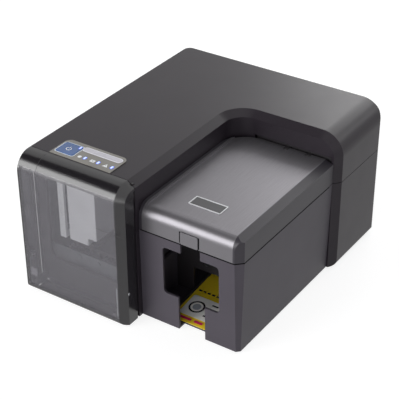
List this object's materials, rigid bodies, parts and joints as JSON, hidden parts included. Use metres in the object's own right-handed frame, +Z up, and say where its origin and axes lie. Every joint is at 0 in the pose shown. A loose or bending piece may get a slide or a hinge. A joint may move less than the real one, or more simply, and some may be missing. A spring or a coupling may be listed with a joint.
{
  "type": "id card printer",
  "caption": "Desktop ID card printer with a clear hinged front door over the print bay, a card hopper with a hinged lid and an open front card mouth.",
  "frame": {"origin": "middle of the base, on the surface under the rubber feet", "axes": "+Z up, -Y towards the front door and the card mouth, +X towards the card hopper"},
  "size_m": [0.3, 0.359, 0.1946],
  "materials": {
    "body": "satin moulded ABS, charcoal grey",
    "hopper": "satin moulded ABS, grey",
    "lid": "brushed grey metallic finish",
    "smoked_clear": "smoked clear acrylic, glossy",
    "dark_plastic": "fine-grained black plastic",
    "steel": "plated steel",
    "bright_steel": "ground steel rod",
    "bright_plate": "bright satin plate",
    "panel": "taupe satin plastic",
    "blue_key": "translucent blue key",
    "pale_strip": "pale lilac-grey film",
    "lamp": "clear light pipe",
    "rubber": "moulded rubber",
    "printed_card": "glossy printed PVC card",
    "white_card": "blank PVC card",
    "gear_plastic": "natural acetal",
    "light_plastic": "light grey moulded plastic",
    "white_plastic": "white moulded plastic",
    "frame_steel": "dark plated sheet steel",
    "motor_steel": "motor can",
    "clear_film": "clear film",
    "felt": "ink-absorbing felt",
    "circuit_board": "green circuit board",
    "supply_case": "galvanised case"
  },
  "bodies": {
    "case": {"lower_shell": "body", "top_cover": "body", "hopper_shell": "hopper", "door_hinge_pins": "bright_steel", "bay_bezel": "dark_plastic", "lid_hinge_pins": "bright_steel", "lid_hinge_bracket": "dark_plastic", "control_panel": "panel", "status_lamps": "lamp", "status_strip": "pale_strip", "rubber_feet": "rubber", "case_screws": "steel", "output_cards": "printed_card", "blank_cards": "white_card", "input_bin": "dark_plastic", "feed_motor": "motor_steel", "cross_frames": "frame_steel", "left_frame": "frame_steel", "right_frame": "frame_steel", "shuttle_rails": "bright_steel", "drive_motors": "motor_steel", "guide_rod": "bright_steel", "guide_rail": "frame_steel", "encoder_strip": "clear_film", "carriage_motor": "motor_steel", "carriage_belt": "rubber", "cap_station": "dark_plastic", "head_cap": "rubber", "waste_ink_pad": "felt", "main_board": "circuit_board", "panel_board": "circuit_board", "power_supply": "supply_case", "power_inlet": "dark_plastic", "data_ports": "steel", "fan_frame": "dark_plastic"},
    "door": {"front_door": "smoked_clear", "door_hinge_arms": "steel", "door_screws": "bright_steel"},
    "lid": {"hopper_lid": "lid", "lid_plate": "bright_plate"},
    "latch": {"lid_latch": "lid"},
    "power_key": {"power_button": "blue_key"},
    "weight": {"card_weight": "steel"},
    "pick": {"pick_shaft": "steel", "pick_rollers": "rubber", "pick_gear": "gear_plastic"},
    "pinion": {"feed_pinion": "gear_plastic"},
    "transport": {"transport_shaft": "steel", "transport_rollers": "rubber"},
    "pinch": {"pinch_shaft": "steel", "pinch_rollers": "rubber"},
    "shuttle": {"card_shuttle": "dark_plastic"},
    "screw": {"lead_screw": "bright_steel"},
    "carriage": {"carriage": "dark_plastic", "ink_cartridge": "light_plastic", "clamp_pin": "steel"},
    "clamp": {"cartridge_clamp": "white_plastic"},
    "belt_drive": {"drive_pulley": "light_plastic"},
    "belt_idler": {"idler_pulley": "light_plastic"},
    "fan": {"fan_rotor": "dark_plastic"}
  },
  "joints": [
    {"name": "door_hinge", "type": "hinge", "parent": "case", "child": "door", "pos_m": [-0.0737, -0.172, 0.0105], "axis": [1, 0, 0], "range_deg": [0, 90]},
    {"name": "lid_hinge", "type": "hinge", "parent": "case", "child": "lid", "pos_m": [0.072, 0.0619, 0.1564], "axis": [-1, 0, 0], "range_deg": [0, 43]},
    {"name": "latch_pivot", "type": "hinge", "parent": "lid", "child": "latch", "pos_m": [0.0732, -0.1424, 0.1414], "axis": [1, 0, 0], "range_deg": [0, 8], "stiffness_Nm_per_rad": 0.03, "springref_deg": -2.86},
    {"name": "key_press", "type": "slide", "parent": "case", "child": "power_key", "axis": [0, 0, -1], "range_m": [0, 0.0012], "stiffness_N_per_m": 400, "springref_m": -0.0004},
    {"name": "weight_lift", "type": "slide", "parent": "case", "child": "weight", "axis": [0, 0, 1], "range_m": [0, 0.024]},
    {"name": "pick_turn", "type": "hinge", "parent": "case", "child": "pick", "pos_m": [0.05, -0.0422, 0.054], "axis": [0, 1, 0], "continuous": true},
    {"name": "pinion_turn", "type": "hinge", "parent": "case", "child": "pinion", "pos_m": [0.06055, -0.0422, 0.03573], "axis": [0, 1, 0], "continuous": true},
    {"name": "transport_turn", "type": "hinge", "parent": "case", "child": "transport", "pos_m": [-0.012, -0.0422, 0.056], "axis": [0, 1, 0], "continuous": true},
    {"name": "pinch_turn", "type": "hinge", "parent": "case", "child": "pinch", "pos_m": [-0.012, -0.0422, 0.06896], "axis": [0, 1, 0], "continuous": true},
    {"name": "shuttle_slide", "type": "slide", "parent": "case", "child": "shuttle", "axis": [0, 1, 0], "range_m": [0, 0.065]},
    {"name": "screw_turn", "type": "hinge", "parent": "case", "child": "screw", "pos_m": [-0.062, -0.0422, 0.051], "axis": [0, 1, 0], "range_deg": [-1, 4690]},
    {"name": "carriage_slide", "type": "slide", "parent": "case", "child": "carriage", "axis": [1, 0, 0], "range_m": [-0.013, 0.053]},
    {"name": "clamp_pivot", "type": "hinge", "parent": "carriage", "child": "clamp", "pos_m": [-0.1185, -0.1326, 0.074], "axis": [1, 0, 0], "range_deg": [0, 18]},
    {"name": "drive_pulley_turn", "type": "hinge", "parent": "case", "child": "belt_drive", "pos_m": [-0.126, -0.0442, 0.119], "axis": [0, 0, 1], "range_deg": [-96, 383]},
    {"name": "idler_pulley_turn", "type": "hinge", "parent": "case", "child": "belt_idler", "pos_m": [-0.021, -0.0442, 0.119], "axis": [0, 0, 1], "range_deg": [-96, 383]},
    {"name": "fan_turn", "type": "hinge", "parent": "case", "child": "fan", "pos_m": [-0.1, 0.1605, 0.091], "axis": [0, 1, 0], "continuous": true}
  ],
  "couplings": [
    {"joint": "pinion_turn", "follows": "pick_turn", "ratio": -2.5},
    {"joint": "pinch_turn", "follows": "transport_turn", "ratio": -1.4},
    {"joint": "screw_turn", "follows": "shuttle_slide", "rad_per_m": 1256.6},
    {"joint": "drive_pulley_turn", "follows": "carriage_slide", "rad_per_m": 125},
    {"joint": "idler_pulley_turn", "follows": "carriage_slide", "rad_per_m": 125}
  ]
}
